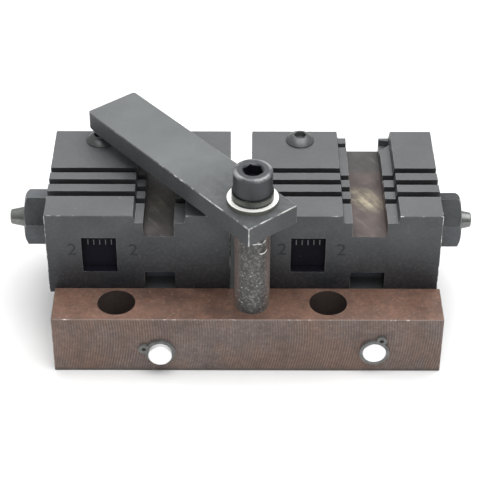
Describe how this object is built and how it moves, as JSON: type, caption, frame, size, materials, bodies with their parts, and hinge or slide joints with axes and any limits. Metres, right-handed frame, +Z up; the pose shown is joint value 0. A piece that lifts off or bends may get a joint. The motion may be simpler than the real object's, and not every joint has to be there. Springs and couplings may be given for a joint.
{
  "type": "two-block clamp fixture",
  "caption": "Bench fixture: grooved work blocks on a saddle, drilled front bar, post with a swinging clamp arm, and nut-driven scale slides behind windows.",
  "frame": {"origin": "on the post's axis, at the underside of the front bar, in the plane that the fixture rests on", "axes": "+X along the front bar and through the mounting holes' line, +Y from the front bar to the blocks' back, +Z up along the post"},
  "size_m": [0.1611, 0.0807, 0.0787],
  "materials": {
    "bar_brown": "browned machined steel",
    "block_black": "black oxide, satin",
    "arm_black": "black oxide, satin with worn edges",
    "post_steel": "pitted dark steel",
    "screw_black": "black oxide, semi-gloss",
    "zinc": "bright zinc plate",
    "pin_bright": "ground bright steel",
    "spring_steel": "oiled spring steel",
    "scale_dark": "matte black with pale graduations"
  },
  "bodies": {
    "base": {"front_bar": "bar_brown", "saddle": "block_black", "left_block": "block_black", "right_block": "block_black", "left_key": "block_black", "right_key": "block_black", "left_guide_pin": "pin_bright", "right_guide_pin": "pin_bright", "left_clip": "spring_steel", "right_clip": "spring_steel", "post": "post_steel", "left_button_screw": "screw_black", "right_button_screw": "screw_black"},
    "arm": {"swing_arm": "arm_black", "flat_washer": "zinc"},
    "clamp_screw": {"cap_screw": "screw_black", "lock_washer": "spring_steel"},
    "left_adjuster": {"left_spindle": "screw_black", "left_nut": "screw_black", "left_collar": "spring_steel"},
    "right_adjuster": {"right_spindle": "screw_black", "right_nut": "screw_black", "right_collar": "spring_steel"},
    "left_scale": {"left_scale_slide": "scale_dark"},
    "right_scale": {"right_scale_slide": "scale_dark"}
  },
  "joints": [
    {"name": "arm_swing", "type": "hinge", "parent": "base", "child": "arm", "pos_m": [0, 0, 0.0627], "axis": [0, 0, 1], "continuous": true},
    {"name": "clamp_screw_turn", "type": "hinge", "parent": "base", "child": "clamp_screw", "pos_m": [0, 0, 0.0708], "axis": [0, 0, 1], "range_deg": [0, 90]},
    {"name": "left_adjuster_turn", "type": "hinge", "parent": "base", "child": "left_adjuster", "pos_m": [-0.07, 0.0298, 0.0374], "axis": [1, 0, 0], "range_deg": [-720, 720]},
    {"name": "left_scale_travel", "type": "slide", "parent": "base", "child": "left_scale", "axis": [1, 0, 0], "range_m": [-0.003, 0.003]},
    {"name": "right_adjuster_turn", "type": "hinge", "parent": "base", "child": "right_adjuster", "pos_m": [0.0641, 0.0298, 0.0364], "axis": [1, 0, 0], "range_deg": [-720, 720]},
    {"name": "right_scale_travel", "type": "slide", "parent": "base", "child": "right_scale", "axis": [1, 0, 0], "range_m": [-0.003, 0.003]}
  ],
  "couplings": [
    {"joint": "left_adjuster_turn", "follows": "left_scale_travel", "rad_per_m": 4188.8},
    {"joint": "right_adjuster_turn", "follows": "right_scale_travel", "rad_per_m": 4188.8}
  ]
}
